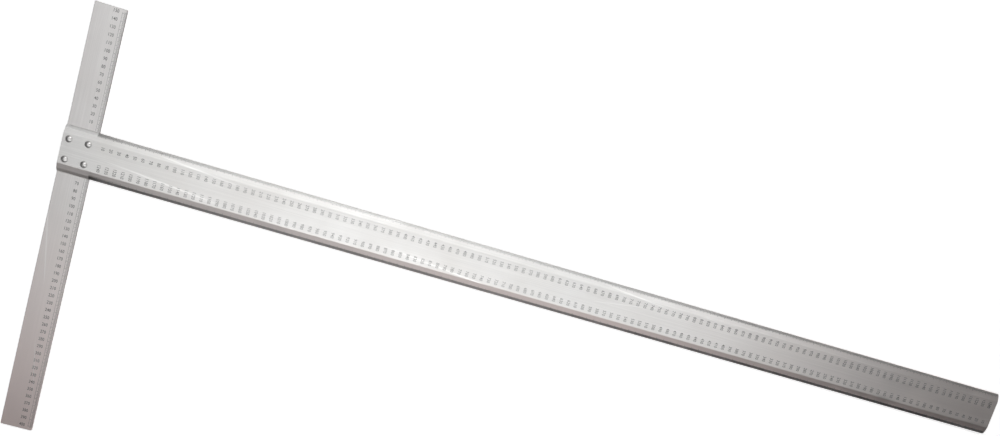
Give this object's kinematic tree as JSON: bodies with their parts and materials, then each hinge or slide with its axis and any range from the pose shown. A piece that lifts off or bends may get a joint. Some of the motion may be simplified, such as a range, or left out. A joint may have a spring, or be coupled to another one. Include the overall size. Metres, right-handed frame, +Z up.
{
  "type": "t square",
  "caption": "Flat T square: a long graduated blade with a raised flat and bevelled edges, riveted across a shorter graduated head.",
  "frame": {"origin": "centre of the riveted joint, on the head's flat underside", "axes": "+X along the blade from the head to the tip, +Y along the head towards its short arm, +Z up from the underside to the rivet heads"},
  "size_m": [1.29, 0.56, 0.0098],
  "materials": {
    "blade": "satin anodised, drawn along the blade",
    "head": "satin anodised, drawn along the head",
    "rivet": "bright, lightly polished",
    "marking": "matt dark grey printed graduations and numbers"
  },
  "bodies": {
    "root": {"blade": "blade", "head": "head", "rivet_upper_outer": "rivet", "rivet_upper_inner": "rivet", "rivet_lower_outer": "rivet", "rivet_lower_inner": "rivet"}
  },
  "joints": []
}
